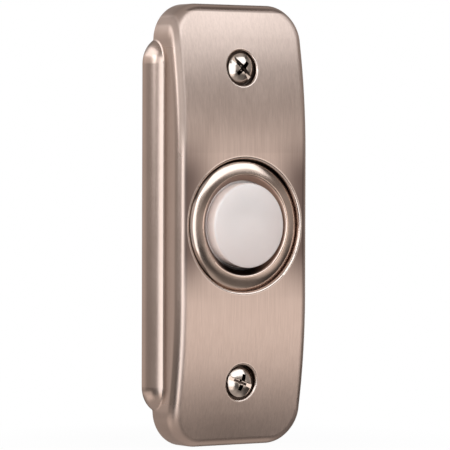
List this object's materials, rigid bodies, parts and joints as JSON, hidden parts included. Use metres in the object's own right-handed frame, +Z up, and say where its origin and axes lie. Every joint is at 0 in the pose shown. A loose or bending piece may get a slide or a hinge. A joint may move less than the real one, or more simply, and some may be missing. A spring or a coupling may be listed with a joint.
{
  "type": "doorbell push button",
  "caption": "Upright wall push button for a doorbell: arched satin metal housing, polished ring, lit domed cap and spring switch, fixed by screws through its face.",
  "frame": {"origin": "centre of the housing's back face, on the wall, behind the middle of the button", "axes": "+Y into the wall, -Y out of the front, +Z up along the plate, +X to the right seen from the front"},
  "size_m": [0.0344, 0.0235, 0.0826],
  "materials": {
    "satin_nickel": "satin nickel plate, brushed upright",
    "polished_nickel": "polished nickel plate",
    "cap_white": "translucent white, smooth",
    "bronze": "rolled bronze",
    "spring_steel": "drawn wire",
    "switch_plastic": "moulded black",
    "plated_steel": "zinc plated",
    "brass_strip": "stamped brass",
    "terminal_brass": "turned brass",
    "lamp_clear": "diffused resin",
    "tinned_wire": "tinned copper",
    "resistor_body": "lacquered body with plain bands",
    "screw_nickel": "nickel plate"
  },
  "bodies": {
    "housing": {"housing": "satin_nickel", "bezel_ring": "polished_nickel", "return_spring": "spring_steel", "switch_body": "switch_plastic", "switch_screws": "plated_steel", "contact_left": "brass_strip", "contact_right": "brass_strip", "terminal_screws": "terminal_brass", "lamp": "lamp_clear", "lamp_leads": "tinned_wire", "resistor": "resistor_body", "resistor_leads": "tinned_wire", "mounting_screws": "screw_nickel"},
    "button": {"button_cap": "cap_white", "contact_bridge": "bronze"}
  },
  "joints": [
    {"name": "button_press", "type": "slide", "parent": "housing", "child": "button", "axis": [0, 1, 0], "range_m": [0, 0.0013], "stiffness_N_per_m": 1000, "springref_m": -0.002, "deforming": ["return_spring"]}
  ]
}
